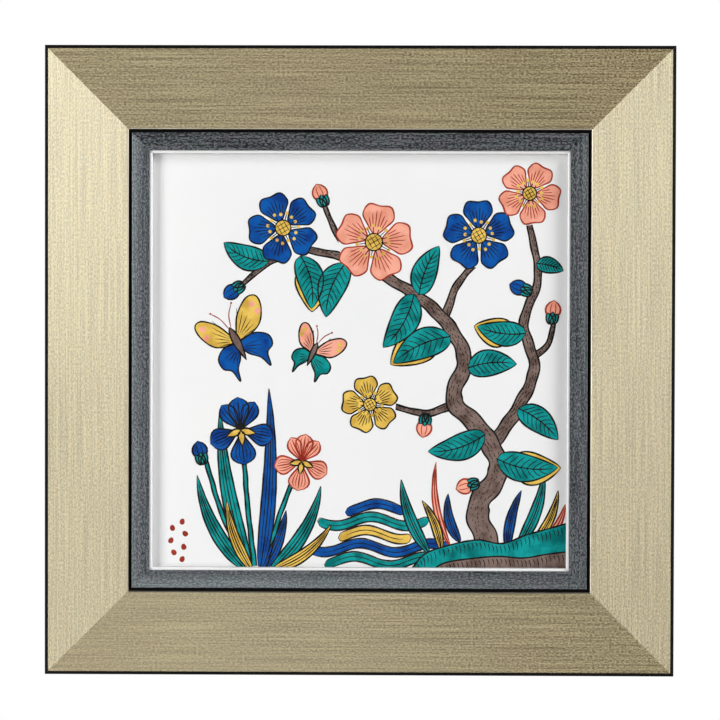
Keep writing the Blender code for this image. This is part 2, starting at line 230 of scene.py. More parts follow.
WAVE_HEIGHT = 2.6
WAVE_LENGTH = 6.5
BANK_LEFT = 30
BANK_CREST = ((0, 0), (8, 9), (22, 14), (38, 17), (52, 15), (66, 20), (80, 24), (90, 27))
BANK_BANDS = (("green", 0, 1), ("brown", 12, 0.45))
GRASS = (("green", (40, -110), (24, -68), 6.5, 3), ("yellow", (47, -108), (36, -80), 5, -2),
         ("coral", (52, -106), (44, -58), 3.5, 4), ("blue", (58, -104), (51, -76), 5.5, 3),
         ("green", (91, -106), (106, -64), 6.5, -3), ("yellow", (99, -105), (114, -74), 5, -3),
         ("blue", (85, -108), (93, -74), 5.5, 2), ("coral", (107, -102), (118, -82), 3.5, -2))
IRIS_ROOT = (-58, -PAINT_EDGE)
IRIS_ROOT_SPREAD = 0.22
IRIS_LEAVES = (("green", (-93, -66), 7.5, 5), ("green", (-80, -28), 8.5, 4), ("blue", (-52, -16), 8, -3),
               ("green", (-22, -72), 7.5, -5), ("yellow", (-16, -94), 6.5, -4), ("yellow", (-76, -80), 6, 3),
               ("blue", (-42, -86), 6, -2))
STEM_WIDTHS = (2.4, 2.0)
IRIS_STEMS = (((-60, -118), (-64, -84), (-67, -44)), ((-54, -118), (-46, -90), (-37, -66)),
              ((-64, -118), (-78, -90), (-88, -58)))
IRISES = (((-68, -40), 19, "blue", 96), ((-33, -58), 16, "coral", 82))
IRIS_BUD = ((-90, -58), 104, "blue")
BUTTERFLIES = (((-70, 10), 22, 28, ("yellow", "blue", "coral")),
               ((-27, 4), 15.5, -24, ("coral", "green", "yellow")))
LOOSE_PETALS = 7
LOOSE_FROM = (-101, -91)
LOOSE_STEP = (-6.5, -3.6)
LOOSE_LENGTH = 3.4
LOOSE_WIDTH = 2.0

# The studio's soft lights: place, width, height and power
LIGHTS = {
    "left softbox": ((-1.30, -1.10, 0.10), 0.6, 0.6, 13.5),
    "left low softbox": ((-1.30, -1.10, -0.60), 0.6, 0.6, 7.4),
    "low fill": ((-0.20, -1.50, -0.95), 0.6, 0.4, 2.3),
    "right softbox": ((1.35, -1.20, 0.45), 0.7, 2.1, 11.5),
    "right edge light": ((1.90, -0.70, 0.30), 0.6, 1.6, 14),
    "high right softbox": ((2.20, -1.50, 1.40), 0.8, 0.8, 31),
    "rear softbox": ((-0.9, 1.5, 0.5), 1.0, 1.0, 22),
}
ROOM_LIGHT = 0.03
FLOOR_BELOW = 1.4
FLOOR_CORNERS = ((-8, -12), (8, -12), (8, 3.0), (-8, 3.0))

# How far each side is turned from the top, in degrees, and the name of the map along its grain
SIDES = {"top": 0, "right": 90, "bottom": 180, "left": 270}
GRAIN_MAP = "lengthwise"


def shade(mesh):
    """Smooth the roundings, while each wide flat face keeps its own direction up to its edges."""
    mesh.shade_smooth()
    mesh.set_sharp_from_angle(angle=math.radians(SHARP_ANGLE))
    for face in mesh.polygons:
        face.use_smooth = face.area < FLAT_AREA


def add_piece(name, form, materials, slot, replaced=()):
    """Turn a bmesh into a piece, which rides on the plaque if it has a slot."""
    bmesh.ops.recalc_face_normals(form, faces=form.faces)
    mesh = bpy.data.meshes.new(name)
    form.to_mesh(mesh)
    form.free()
    for material in materials:
        mesh.materials.append(material)
    piece = bpy.data.objects.new(name, mesh)
    bpy.context.scene.collection.objects.link(piece)
    shade(mesh)
    if slot:
        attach(piece, "root")
    if replaced:
        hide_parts(*replaced)
    return piece


def arc(centre, radius, start, end, steps=ARC_STEPS):
    """Points on an arc, angles in degrees from the first axis towards the second."""
    turns = [math.radians(start + (end - start) * step / steps) for step in range(steps + 1)]
    return [(centre[0] + radius * math.cos(turn), centre[1] + radius * math.sin(turn)) for turn in turns]


# Sections of the mouldings, as (outwards, forwards)


def rail_profile():
    back_outside = [(RAIL_OUTSIDE - BACK_EDGE_CHAMFER, 0), (RAIL_OUTSIDE, BACK_EDGE_CHAMFER)]
    round_front = FACE_FRONT - FOIL_EDGE_RADIUS
    outer_edge = arc((FACE_OUTSIDE, round_front - OUTER_RADIUS), OUTER_RADIUS, 0, 90)
    foil_edge = arc((FACE_OUTSIDE - FOIL_EDGE_RADIUS, round_front), FOIL_EDGE_RADIUS, 0, 90, 4)
    inner_centre = (FACE_INSIDE + FACE_EDGE_RADIUS, FACE_FRONT - FACE_EDGE_RADIUS)
    inner_edge = arc(inner_centre, FACE_EDGE_RADIUS, 90, 180)
    step_foot = [(FACE_INSIDE - STEP_SLOPE, LIP_FRONT)]
    lip_edge = arc((RAIL_INSIDE + LIP_RADIUS, LIP_FRONT - LIP_RADIUS), LIP_RADIUS, 90, 180, 4)
    rabbets = [(RAIL_INSIDE, LIP_UNDERSIDE), (RAIL_RABBET, LIP_UNDERSIDE), (RAIL_RABBET, TILE_BACK),
               (RAIL_LEDGE, TILE_BACK), (RAIL_LEDGE, 0)]
    return back_outside + outer_edge[:-1] + foil_edge + inner_edge + step_foot + lip_edge + rabbets


def liner_profile():
    outside = [(LINER_OUTSIDE, TILE_BACK), (LINER_OUTSIDE, LINER_FLANGE), (LINER_FACE_OUTSIDE, LINER_FLANGE)]
    inner_level = LINER_UNDERSIDE + LINER_SIGHT_THICKNESS
    outer_level = inner_level - LINER_RISE
    outer_centre = (LINER_FACE_OUTSIDE - LINER_EDGE_RADIUS, outer_level - LINER_EDGE_RADIUS)
    inner_centre = (LINER_INSIDE + LINER_SIGHT_RADIUS, inner_level - LINER_SIGHT_RADIUS)
    face_steps = 2 * ARC_STEPS
    face = []
    for step in range(1, face_steps):
        share = step / face_steps
        across = outer_centre[0] + (inner_centre[0] - outer_centre[0]) * share
        level = outer_level + (inner_level - outer_level) * share
        face.append((across, level + LINER_CROWN * 4 * share * (1 - share)))
    outer_edge = arc(outer_centre, LINER_EDGE_RADIUS, 0, 90)
    inner_edge = arc(inner_centre, LINER_SIGHT_RADIUS, 90, 180, 5)
    rabbet = [(LINER_INSIDE, LINER_UNDERSIDE), (LINER_RABBET, LINER_UNDERSIDE), (LINER_RABBET, TILE_BACK)]
    return outside + outer_edge + face + inner_edge + rabbet


def fillet_profile():
    centre = (FILLET_INSIDE + FILLET_RADIUS, FILLET_FRONT - FILLET_RADIUS)
    sight_edge = arc(centre, FILLET_RADIUS, 90, 180)
    back_and_front = [(FILLET_OUTSIDE, FILLET_BACK), (FILLET_OUTSIDE, FILLET_FRONT)]
    return back_and_front + sight_edge + [(FILLET_INSIDE, FILLET_BACK)]


def mitred_length(name, profile, side, materials, slot, paint_of=None):
    """One mitred length of a moulding, which stands for the solid of the same name.

    Its grain map runs along the length in u and round the section in v, in metres. Each side reads
    its own stretch of the grain, so that no two lengths look alike. The cut ends show the last material.
    """
    is_upright = side in ("left", "right")
    half_along = HALF_HEIGHT if is_upright else HALF_WIDTH
    half_across = HALF_WIDTH if is_upright else HALF_HEIGHT
    own_stretch = list(SIDES).index(side) + 1
    round_section = [0]
    for index, point in enumerate(profile):
        following = profile[(index + 1) % len(profile)]
        round_section.append(round_section[-1] + math.dist(point, following))
    form = bmesh.new()
    grain = form.loops.layers.uv.new(GRAIN_MAP)
    ends = []
    for direction in (-1, 1):
        end = []
        for out, front in profile:
            along = half_along + out - MITRE_GAP / 2
            end.append(form.verts.new((direction * along, -front, half_across + out)))
        ends.append(end)
        cap = form.faces.new(end)
        cap.material_index = len(materials) - 1
        for loop in cap.loops:
            loop[grain].uv = (loop.vert.co.z, loop.vert.co.y)
    for index in range(len(profile)):
        following = (index + 1) % len(profile)
        corners = (ends[0][index], ends[0][following], ends[1][following], ends[1][index])
        face = form.faces.new(corners)
        for loop, level in zip(face.loops, (index, index + 1, index + 1, index)):
            loop[grain].uv = (loop.vert.co.x + own_stretch, round_section[level])
        if paint_of:
            out = (profile[index][0] + profile[following][0]) / 2
            front = (profile[index][1] + profile[following][1]) / 2
            face.material_index = paint_of(out, front)
    turn = Matrix.Translation((0, 0, TILE_MIDDLE.z)) @ Matrix.Rotation(math.radians(SIDES[side]), 4, "Y")
    bmesh.ops.transform(form, matrix=turn, verts=form.verts)
    return add_piece(name, form, materials, slot, [name])


def rail_paint(out, front):
    """0 for foil, 1 for its bright rubbed inner edge, 2 for black paint, 3 for bare wood in the rabbets."""
    foil_end = FACE_OUTSIDE - FOIL_EDGE_RADIUS
    if out < FACE_INSIDE or out > foil_end or front < FACE_FRONT - FACE_EDGE_RADIUS:
        in_rabbet = front <= LIP_UNDERSIDE and RAIL_INSIDE < out <= RAIL_LEDGE
        return 3 if in_rabbet and front > 0 else 2
    return 1 if out < FACE_INSIDE + FACE_EDGE_RADIUS else 0


def fillet_paint(out, front):
    """0 for polished silver, 1 for the flank below its rounding, greyed as painted shade beside the tile."""
    return 1 if out < FILLET_INSIDE + FILLET_RADIUS and front < FILLET_FRONT - FILLET_RADIUS else 0


def rounded_block(low, high, radius):
    """A block with round upright edges along Y, as a router leaves them."""
    form = bmesh.new()
    corners = ((high[0] - radius, high[2] - radius, 0), (low[0] + radius, high[2] - radius, 90),
               (low[0] + radius, low[2] + radius, 180), (high[0] - radius, low[2] + radius, 270))
    outline = []
    for across, up, start in corners:
        outline += arc((across, up), radius, start, start + 90)
    face = form.faces.new([form.verts.new((across, high[1], up)) for across, up in outline])
    grown = bmesh.ops.extrude_face_region(form, geom=[face])
    moved = [item for item in grown["geom"] if isinstance(item, bmesh.types.BMVert)]
    bmesh.ops.translate(form, verts=moved, vec=(0, low[1] - high[1], 0))
    return form


def cut_away(piece, cutter):
    """Cut a block out of a piece for good, and remove the block."""
    modifier = piece.modifiers.new("cut", "BOOLEAN")
    modifier.operation = "DIFFERENCE"
    modifier.solver = "EXACT"
    modifier.material_mode = "TRANSFER"
    modifier.object = cutter
    bpy.context.view_layer.update()
    seen = piece.evaluated_get(bpy.context.evaluated_depsgraph_get())
    mesh = bpy.data.meshes.new_from_object(seen)
    piece.modifiers.clear()
    piece.data = mesh
    mesh.name = piece.name
    bpy.data.objects.remove(cutter)


def route_the_back(rail, wood):
    """Let the hanger and the nail's head into the back of the top rail."""
    low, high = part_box("hanger_plate")
    outside = 1 * MM
    rebate = ((low.x - CLEARANCE, low.y - CLEARANCE, low.z - CLEARANCE),
              (high.x + CLEARANCE, outside, high.z + CLEARANCE), HANGER_CORNER_RADIUS)
    pocket = ((-POCKET_SIDE, -POCKET_DEPTH, -POCKET_BELOW),
              (POCKET_SIDE, outside, POCKET_ABOVE), POCKET_RADIUS)
    for block in (rebate, pocket):
        cutter = add_piece("router", rounded_block(*block), [wood], None)
        cut_away(rail, cutter)
    shade(rail.data)


def ceramic_tile(glaze):
    """The glazed tile, with softly rounded edges."""
    form = bmesh.new()
    size = TILE_HIGH - TILE_LOW
    bmesh.ops.create_cube(form, size=1, matrix=Matrix.Translation(TILE_MIDDLE) @ Matrix.Diagonal((*size, 1)))
    bmesh.ops.bevel(form, geom=form.edges, offset=TILE_EDGE_RADIUS, segments=4, profile=0.5, affect="EDGES")
    return add_piece("tile", form, [glaze], "white_glaze", ["ceramic_tile"])


# The enamel picture, in millimetres across and up from the tile's middle


class Enamels:
    """Films of enamel and painted lines on the glaze, kept by colour.

    Each layer of the picture lies on the one before. A film is a thin flat pool, and a line is a
    ridge with steep flanks, painted with a hand that presses unevenly.
    """

    def __init__(self):
        self.forms = {color: bmesh.new() for color in ENAMEL_COLORS}
        self.hand = random.Random(PAINTER_SEED)
        self.strokes = 0

    def level(self, layer, is_line=False):
        """How high a stroke stands: strokes made one after another never lie at the same height."""
        self.strokes += 1
        rise = LINE_RISE if is_line else 0
        return FIRST_FILM + layer * LAYER_STEP + rise + self.strokes % STROKE_HEIGHTS * STROKE_STEP

    def place(self, point, level):
        across = min(max(point.x, -PAINT_EDGE), PAINT_EDGE)
        up = min(max(point.y, -PAINT_EDGE), PAINT_EDGE)
        return (TILE_MIDDLE.x + across * MM, -TILE_FRONT - level * MM, TILE_MIDDLE.z + up * MM)

    def fill(self, color, outline, layer, is_line=False, slip=0.3):
        """A pool of enamel, which the hand sets down a little off its outline."""
        form = self.forms[color]
        level = self.level(layer, is_line)
        off = Vector((self.hand.uniform(-slip, slip), self.hand.uniform(-slip, slip)))
        points = [point + off for point in outline]
        foot = [form.verts.new(self.place(point, PAINT_FOOT)) for point in points]
        crest = [form.verts.new(self.place(point, level)) for point in points]
        for index in range(len(points)):
            following = (index + 1) % len(points)
            form.faces.new((foot[index], foot[following], crest[following], crest[index]))
        for corners in tessellate_polygon([[point.to_3d() for point in points]]):
            form.faces.new([crest[corner] for corner in corners])
            form.faces.new([foot[corner] for corner in corners])

    def line(self, color, path, width, layer, ends=(0.35, 0.35), closed=False):
        """A brush line; ends says how thin it starts and stops."""
        form = self.forms[color]
        level = self.level(layer, True)
        count = len(path)
        phase = self.hand.uniform(0, math.tau)
        rows = []
        for index, point in enumerate(path):
            before = path[index - 1] if closed or index else point
            after = path[(index + 1) % count] if closed or index + 1 < count else point
            share = index / (count - 1)
            press = 1 + UNEVEN_PRESS * math.sin(index * PRESS_WAVE + phase)
            if not closed:
                press *= min(1, ends[0] + share * BRUSH_LIFT, ends[1] + (1 - share) * BRUSH_LIFT)
            across = Vector((before.y - after.y, after.x - before.x)).normalized() * width * press / 2
            corners = ((-1, PAINT_FOOT), (-CREST_SHARE, level), (CREST_SHARE, level), (1, PAINT_FOOT))
            row = [form.verts.new(self.place(point + across * side, height)) for side, height in corners]
            rows.append(row)
        pairs = list(zip(rows, rows[1:])) + ([(rows[-1], rows[0])] if closed else [])
        for first, second in pairs:
            for corner in range(4):
                following = (corner + 1) % 4
                form.faces.new((first[corner], first[following], second[following], second[corner]))
        if not closed:
            form.faces.new(rows[0])
            form.faces.new(rows[-1])

    def dot(self, color, centre, radius, layer):
        self.fill(color, circle(centre, radius, 8), layer, True, 0)


def polar(centre, degrees, distance):
    turn = math.radians(degrees)
    return Vector((centre[0] + distance * math.cos(turn), centre[1] + distance * math.sin(turn)))


def circle(centre, radius, count):
    return [polar(centre, 360 / count * step, radius) for step in range(count)]


def ink_for(color):
    """The colour that a motif's lines are drawn in."""
    return "red" if color == "coral" else "black"


def through(points, closed=False):
    """A smooth line through the points, as points about a brush's spacing apart."""
    points = [Vector(point) for point in points]
    count = len(points)
    line = []
    for index in range(count if closed else count - 1):
        start = points[index]
        end = points[(index + 1) % count]
        before = points[index - 1] if closed or index else 2 * start - end
        after = points[(index + 2) % count] if closed or index + 2 < count else 2 * end - start
        steps = max(2, round((end - start).length / BRUSH_SPACING))
        for step in range(steps):
            share = step / steps
            straight = 2 * start + (end - before) * share
            bend = (2 * before - 5 * start + 4 * end - after) * share ** 2
            turn = (3 * start - before - 3 * end + after) * share ** 3
            line.append((straight + bend + turn) / 2)
    return line if closed else line + [points[-1]]


def blade(art, color, base, tip, width, layer, bend=0, fullness=0.8, ink="black", rib=True, veins=0,
          strands=(), rim=None):
    """A leaf or petal. Bend pushes its middle sideways, and fullness over 1 makes it widest near its tip."""
    base, tip = Vector(base), Vector(tip)
    along = tip - base
    side = Vector((-along.y, along.x)).normalized()
    if rim:
        reach = along.normalized() * RIM_REACH
        blade(art, rim, base + along * RIM_START, tip + reach, width + 2 * RIM_WIDTH, layer - OVER, bend,
              fullness, ink, rib=False)

    def at(share, across):
        half = width / 2 * math.sin(math.pi * share ** fullness) ** BLADE_ROUNDNESS
        return base + along * share + side * (bend * 4 * share * (1 - share) + across * half)

    steps = max(6, round(along.length / BLADE_SPACING))
    shares = [step / steps for step in range(steps + 1)]
    left = [at(share, 1) for share in shares]
    right = [at(share, -1) for share in shares]
    art.fill(color, left + right[-2:0:-1], layer)
    for edge in (left, right):
        art.line(ink, edge, OUTLINE, layer)
    if rib:
        art.line(ink, [at(share * RIB_LENGTH, 0) for share in shares], RIB, layer, (1, 0.3))
    for number in range(veins):
        start = VEINS_FROM + VEINS_SPAN * number / veins
        for side_of_rib in (1, -1):
            vein = through([at(start + ahead, out * side_of_rib) for ahead, out in VEIN_POINTS])
            art.line(ink, vein, HATCHING, layer, (1, 0.4))
    for across in strands:
        art.line(ink, [at(STRAND_FROM + share * STRAND_SPAN, across) for share in shares], HATCHING, layer)


def branch(art, points, start_width, end_width, layer, color="brown"):
    """A knotty limb with bark marks."""
    line = through(points)
    edges = {1: [], -1: []}
    middle = []
    last = len(line) - 1
    for index, point in enumerate(line):
        before, after = line[max(index - 1, 0)], line[min(index + 1, last)]
        across = Vector((before.y - after.y, after.x - before.x)).normalized()
        half = (start_width + (end_width - start_width) * index / last) / 2
        middle.append((point, (after - before).normalized(), across * half))
        for side, edge in edges.items():
            edge.append(point + across * side * half * (1 + KNOTS * math.sin(index * KNOT_WAVE + side)))
    art.fill(color, edges[1] + edges[-1][::-1], layer, slip=0.15)
    for edge in edges.values():
        art.line("black", edge, OUTLINE, layer, (0.8, 0.8))
    if color != "brown":
        return
    for index in range(2, last - 1, 2):
        point, along, half = middle[index]
        for row in BARK_ROWS[:1 + round(half.length / 2)]:
            place = point + half * (row + art.hand.uniform(-0.15, 0.15)) + along * art.hand.uniform(-0.8, 0.8)
            reach = along * art.hand.uniform(0.3, 1.3)
            art.line("black", [place - reach, place, place + reach], HATCHING, layer, (0.6, 0.6))


def blossom(art, centre, radius, color, turn, layer):
    """A five-petalled blossom with a white gap round it, hatched petals and stamens."""
    ink = ink_for(color)
    art.fill("white", circle(centre, radius * 0.9, 36), layer - OVER, slip=0)
    for petal in range(PETALS):
        axis = turn + PETAL_TURN * petal
        edge = through([polar(centre, axis + off, radius * reach) for off, reach in PETAL_EDGE], closed=True)
        art.fill(color, edge, layer)
        art.line(ink, edge, THIN_OUTLINE, layer, closed=True)
        for off in range(-20, 21, 8):
            reach = 0.80 + 0.06 * math.cos(math.radians(off * 9)) - 0.004 * abs(off)
            strand = [polar(centre, axis + off * 1.05, radius * share) for share in (0.40, 0.55, reach)]
            art.line(ink, through(strand), HATCHING, layer, (1, 0.2))
    for number in range(STAMENS):
        axis = turn + STAMEN_TURN * (number + 0.5)
        stamen = [polar(centre, axis, radius * share) for share in (0.20, 0.30, 0.38 + 0.05 * (number % 2))]
        art.line("black", stamen, HATCHING, layer + OVER, (1, 1))
        art.dot("yellow", stamen[-1], 1.0, layer + OVER)
    heart = radius * HEART_SHARE
    ring = circle(centre, heart, 24)
    art.fill("yellow", ring, layer + OVER, slip=0)
    art.line("black", ring, OUTLINE * 0.8, layer + OVER, closed=True)
    for slant in (30, 120):
        for offset in (-0.5, 0, 0.5):
            middle = polar(centre, slant + 90, heart * offset)
            half = heart * math.sqrt(1 - offset ** 2) * 0.9
            thread = [polar(middle, slant, -half), middle, polar(middle, slant, half)]
            art.line("black", thread, HATCHING, layer + OVER)


def bud(art, place, degrees, color, layer):
    """A closed bud in its green cup."""
    tip = polar(place, degrees, BUD_LENGTH)
    blade(art, color, place, tip, BUD_WIDTH, layer, fullness=1.15, ink=ink_for(color), rib=False,
          strands=(-0.35, 0.35))
    foot = polar(place, degrees, -2)
    for off in (-34, 34, 0):
        blade(art, "green", foot, polar(place, degrees + off, 5.5), 3.8, layer + OVER, rib=False)


def butterfly(art, centre, size, degrees, colors, layer):
    """A butterfly on the wing, seen a little from one side."""
    heading = Matrix.Rotation(math.radians(degrees), 2)

    def at(across, up):
        return Vector(centre) + heading @ Vector((across, up)) * size

    for side in (1.0, -0.8):
        front = through([at(across * side, up) for across, up in FRONT_WING], closed=True)
        hind = through([at(across * side, up) for across, up in HIND_WING], closed=True)
        for shape, color in ((hind, colors[1]), (front, colors[0])):
            art.fill(color, shape, layer)
            art.line("black", shape, THIN_OUTLINE, layer, closed=True)
        rays = [((0, 0.05), 62 - 11 * number, 0.22, 0.86 - 0.06 * number) for number in range(6)]
        rays += [((0, -0.1), -10 - 13 * number, 0.18, 0.58) for number in range(4)]
        for root, ray, near, far in rays:
            start, end = polar(root, ray, near), polar(root, ray, far)
            vein = [at(point.x * side, point.y) for point in (start, (start + end) / 2, end)]
            art.line("black", vein, HATCHING, layer)
        for across, up in WING_SPOTS:
            art.fill(colors[2], circle(at(across * side, up), size * 0.085, 8), layer + OVER)
        feeler = [at(across * side, up) for across, up in FEELER]
        art.line("red", through(feeler), HATCHING, layer)
        art.dot("red", feeler[-1], 0.6, layer)
    blade(art, "brown", at(0, -0.50), at(0, 0.46), size * 0.20, layer + OVER, fullness=1.4, rib=False)


def iris(art, centre, size, color, degrees, layer):
    """An iris with three petals up, and three down with a yellow beard on each."""
    ink = ink_for(color)
    for off, reach, width in IRIS_RAISED:
        tip = polar(centre, degrees - 90 + off, size * reach)
        blade(art, color, centre, tip, size * width, layer, fullness=1.7, ink=ink, strands=(-0.45, 0.45))
    for off, reach, width in IRIS_FALLING:
        tip = polar(centre, degrees - 90 + off, size * reach)
        blade(art, color, centre, tip, size * width, layer + OVER, fullness=1.9, ink=ink,
              strands=(-0.6, -0.3, 0.3, 0.6))
        beard = polar(centre, degrees - 90 + off, size * 0.45)
        blade(art, "yellow", centre, beard, size * 0.2, layer + 2 * OVER, rib=False)


def stream(art, layer):
    """Bands of running water that taper at both ends."""
    for number, (color, left, right) in enumerate(WATER):
        level = WATER_TOP - WATER_PITCH * number
        steps = round((right - left) / BRUSH_SPACING)
        edges = {1: [], -1: []}
        for step in range(steps + 1):
            share = step / steps
            across = left + (right - left) * share
            from_end = min(1, (right - left) * min(share, 1 - share) / WATER_END)
            half = WATER_HALF_WIDTH * math.sqrt(1 - (1 - from_end) ** 2)
            up = level + WAVE_HEIGHT * math.sin(across / WAVE_LENGTH + 0.5 * number)
            for side, edge in edges.items():
                edge.append(Vector((across, up + side * half)))
        art.fill(color, edges[1] + edges[-1][::-1], layer)
        for edge in edges.values():
            art.line("black", edge, OUTLINE, layer)
        inner = [(upper + lower) / 2 for upper, lower in zip(edges[1], edges[-1])]
        art.line("black", inner[4:-4], HATCHING, layer)


def bank(art, layer):
    """The earth bank that the tree grows from."""
    for color, offset, rise in BANK_BANDS:
        left = BANK_LEFT + offset
        crest = through([(left + across, -PAINT_EDGE + up * rise) for across, up in BANK_CREST])
        foot = [Vector((PAINT_EDGE, -PAINT_EDGE)), Vector((left, -PAINT_EDGE))]
        art.fill(color, crest + foot, layer, slip=0)
        art.line("black", crest, OUTLINE, layer, (1, 1))
        for index in range(3, len(crest) - 2, 2):
            top = crest[index] - Vector((0, 1.4))
            fall = art.hand.uniform(2.5, 6.0)
            tuft = [top, top + Vector((0.8, -fall / 2)), top + Vector((0.6, -fall))]
            art.line("black", tuft, HATCHING, layer, (1, 0.3))
        layer += OVER


def paint_the_picture():
    """A blossoming tree on a bank, irises by a stream, and butterflies."""
    art = Enamels()
    stream(art, LAYERS["stream"])
    for number, (color, base, tip, width, bend) in enumerate(GRASS):
        strands = (-0.4, 0.4) if width > 4 else ()
        blade(art, color, base, tip, width, LAYERS["grass"] + number % 2 * OVER, bend, 0.7, ink_for(color),
              strands=strands)
    for number, (points, start, end) in reversed(list(enumerate(LIMBS))):
        branch(art, points, start, end, LAYERS["limbs"] - min(number, 2) * OVER)
    bank(art, LAYERS["bank"])
    for base, degrees, length, width, bend, rim in LEAVES:
        tip = polar(base, degrees, length)
        blade(art, "green", base, tip, width, LAYERS["leaves"], bend, 0.72, veins=LEAF_VEINS, rim=rim)
    for points in IRIS_STEMS:
        branch(art, points, *STEM_WIDTHS, LAYERS["iris leaves"], "green")
    for number, (color, tip, width, bend) in enumerate(IRIS_LEAVES):
        base = Vector(IRIS_ROOT) + Vector(((tip[0] - IRIS_ROOT[0]) * IRIS_ROOT_SPREAD, 0))
        layer = LAYERS["iris leaves"] + number % 3 * OVER
        blade(art, color, base, tip, width, layer, bend, 0.62, strands=(-0.45, 0.45))
    for centre, size, color, degrees in IRISES:
        iris(art, centre, size, color, degrees, LAYERS["irises"])
    bud(art, *IRIS_BUD, LAYERS["irises"])
    for centre, radius, color, turn in BLOSSOMS:
        blossom(art, centre, radius, color, turn, LAYERS["blossoms"])
    for place, degrees, color in BUDS:
        bud(art, place, degrees, color, LAYERS["buds"])
    for centre, size, degrees, colors in BUTTERFLIES:
        butterfly(art, centre, size, degrees, colors, LAYERS["butterflies"])
    for number in range(LOOSE_PETALS):
        place = Vector((LOOSE_FROM[0] + LOOSE_STEP[0] * (number % 2), LOOSE_FROM[1] + LOOSE_STEP[1] * number))
        tip = polar(place, 250 + 30 * (number % 3), LOOSE_LENGTH)
        blade(art, "red", place, tip, LOOSE_WIDTH, LAYERS["petals"], fullness=1.2, ink="red", rib=False)
    return art


# Materials


def start_material(name):
    material = bpy.data.materials.new(name)
    material.use_nodes = True
    tree = material.node_tree
    return material, tree, tree.nodes["Principled BSDF"]


def set_inputs(made, values):
    for key, value in values.items():
        made.inputs[key].default_value = value


def noise(tree, vector, scale, detail=3.0, roughness=0.55):
    made = tree.nodes.new("ShaderNodeTexNoise")
    set_inputs(made, {"Scale": scale, "Detail": detail, "Roughness": roughness})
    tree.links.new(vector, made.inputs["Vector"])
    return made.outputs["Fac"]


def stretch(tree, vector, amounts):
    """The vector with each part multiplied by its own amount."""
    made = tree.nodes.new("ShaderNodeVectorMath")
    made.operation = "MULTIPLY"
    tree.links.new(vector, made.inputs[0])
    made.inputs[1].default_value = amounts
    return made.outputs["Vector"]


def ramp(tree, factor, stops):
    """A colour ramp through (position, colour) stops."""
    made = tree.nodes.new("ShaderNodeValToRGB")
    elements = made.color_ramp.elements
    while len(elements) < len(stops):
        elements.new(0.5)
    for element, (position, color) in zip(elements, stops):
        element.position = position
        element.color = (*color, 1)
    tree.links.new(factor, made.inputs["Fac"])
    return made.outputs["Color"]


def in_range(tree, factor, low, high, from_low=0.0, from_high=1.0):
    made = tree.nodes.new("ShaderNodeMapRange")
    tree.links.new(factor, made.inputs["Value"])
    set_inputs(made, {"From Min": from_low, "From Max": from_high, "To Min": low, "To Max": high})
    return made.outputs["Result"]


def mix_colors(tree, factor, first, second, blend="MIX"):
    made = tree.nodes.new("ShaderNodeMix")
    made.data_type = "RGBA"
    made.blend_type = blend
    for name, value in (("Factor", factor), ("A", first), ("B", second)):
        socket = made.inputs[name]
        if isinstance(value, bpy.types.NodeSocket):
            tree.links.new(value, socket)
        else:
            socket.default_value = value if isinstance(value, (int, float)) else (*value, 1)
    return made.outputs["Result"]


def maths(tree, operation, first, second):
    made = tree.nodes.new("ShaderNodeMath")
    made.operation = operation
    for socket, value in zip(made.inputs, (first, second)):
        if isinstance(value, bpy.types.NodeSocket):
            tree.links.new(value, socket)
        else:
            socket.default_value = value
    return made.outputs["Value"]


def weighted(tree, parts):
    """The sum of (value, weight) pairs."""
    total = 0.0
    for value, weight in parts:
        total = maths(tree, "ADD", maths(tree, "MULTIPLY", value, weight), total)
    return total


def coat(tree, shader, color, roughness):
    """Link what varies over a coat: its colour and its roughness."""
    tree.links.new(color, shader.inputs["Base Color"])
    tree.links.new(roughness, shader.inputs["Roughness"])


def bump(tree, shader, height, strength, distance):
    made = tree.nodes.new("ShaderNodeBump")
    set_inputs(made, {"Strength": strength, "Distance": distance})
    tree.links.new(height, made.inputs["Height"])
    tree.links.new(made.outputs["Normal"], shader.inputs["Normal"])


def along_the_grain(tree):
    made = tree.nodes.new("ShaderNodeUVMap")
    made.uv_map = GRAIN_MAP
    return made.outputs["UV"]


def in_place(tree):
    return tree.nodes.new("ShaderNodeTexCoord").outputs["Object"]


def seen_by_camera(tree):
    return tree.nodes.new("ShaderNodeLightPath").outputs["Is Camera Ray"]


def brush_lengthwise(tree, shader, strength):
    """Spread a gloss across the length, as fine brushing along it does."""
    set_inputs(shader, {"Anisotropic": strength, "Anisotropic Rotation": 0.25})
    tangent = tree.nodes.new("ShaderNodeTangent")
    tangent.direction_type = "UV_MAP"
    tangent.uv_map = GRAIN_MAP
    tree.links.new(tangent.outputs["Tangent"], shader.inputs["Tangent"])


def streaks_group():
    """Streaks, specks and soft clouds along a grain map, shared by foil, stain, silver and wood."""
    group = bpy.data.node_groups.new("streaks along the length", "ShaderNodeTree")
    interface = group.interface
    interface.new_socket("Vector", in_out="INPUT", socket_type="NodeSocketVector")
    start = group.nodes.new("NodeGroupInput")
    end = group.nodes.new("NodeGroupOutput")
    scales = {"Hairlines": (14, 1150, 1), "Specks": (720, 1300, 1), "Broad": (22, 900, 1),
              "Clouds": (16, 42, 1)}
    for name, scale in scales.items():
        interface.new_socket(name, in_out="OUTPUT", socket_type="NodeSocketFloat")
        value = noise(group, stretch(group, start.outputs["Vector"], scale), 1.0, 2.0)
        group.links.new(value, end.inputs[name])
    return group


def place_group(tree, group, vector):
    made = tree.nodes.new("ShaderNodeGroup")
    made.node_tree = group
    tree.links.new(vector, made.inputs["Vector"])
    return made.outputs


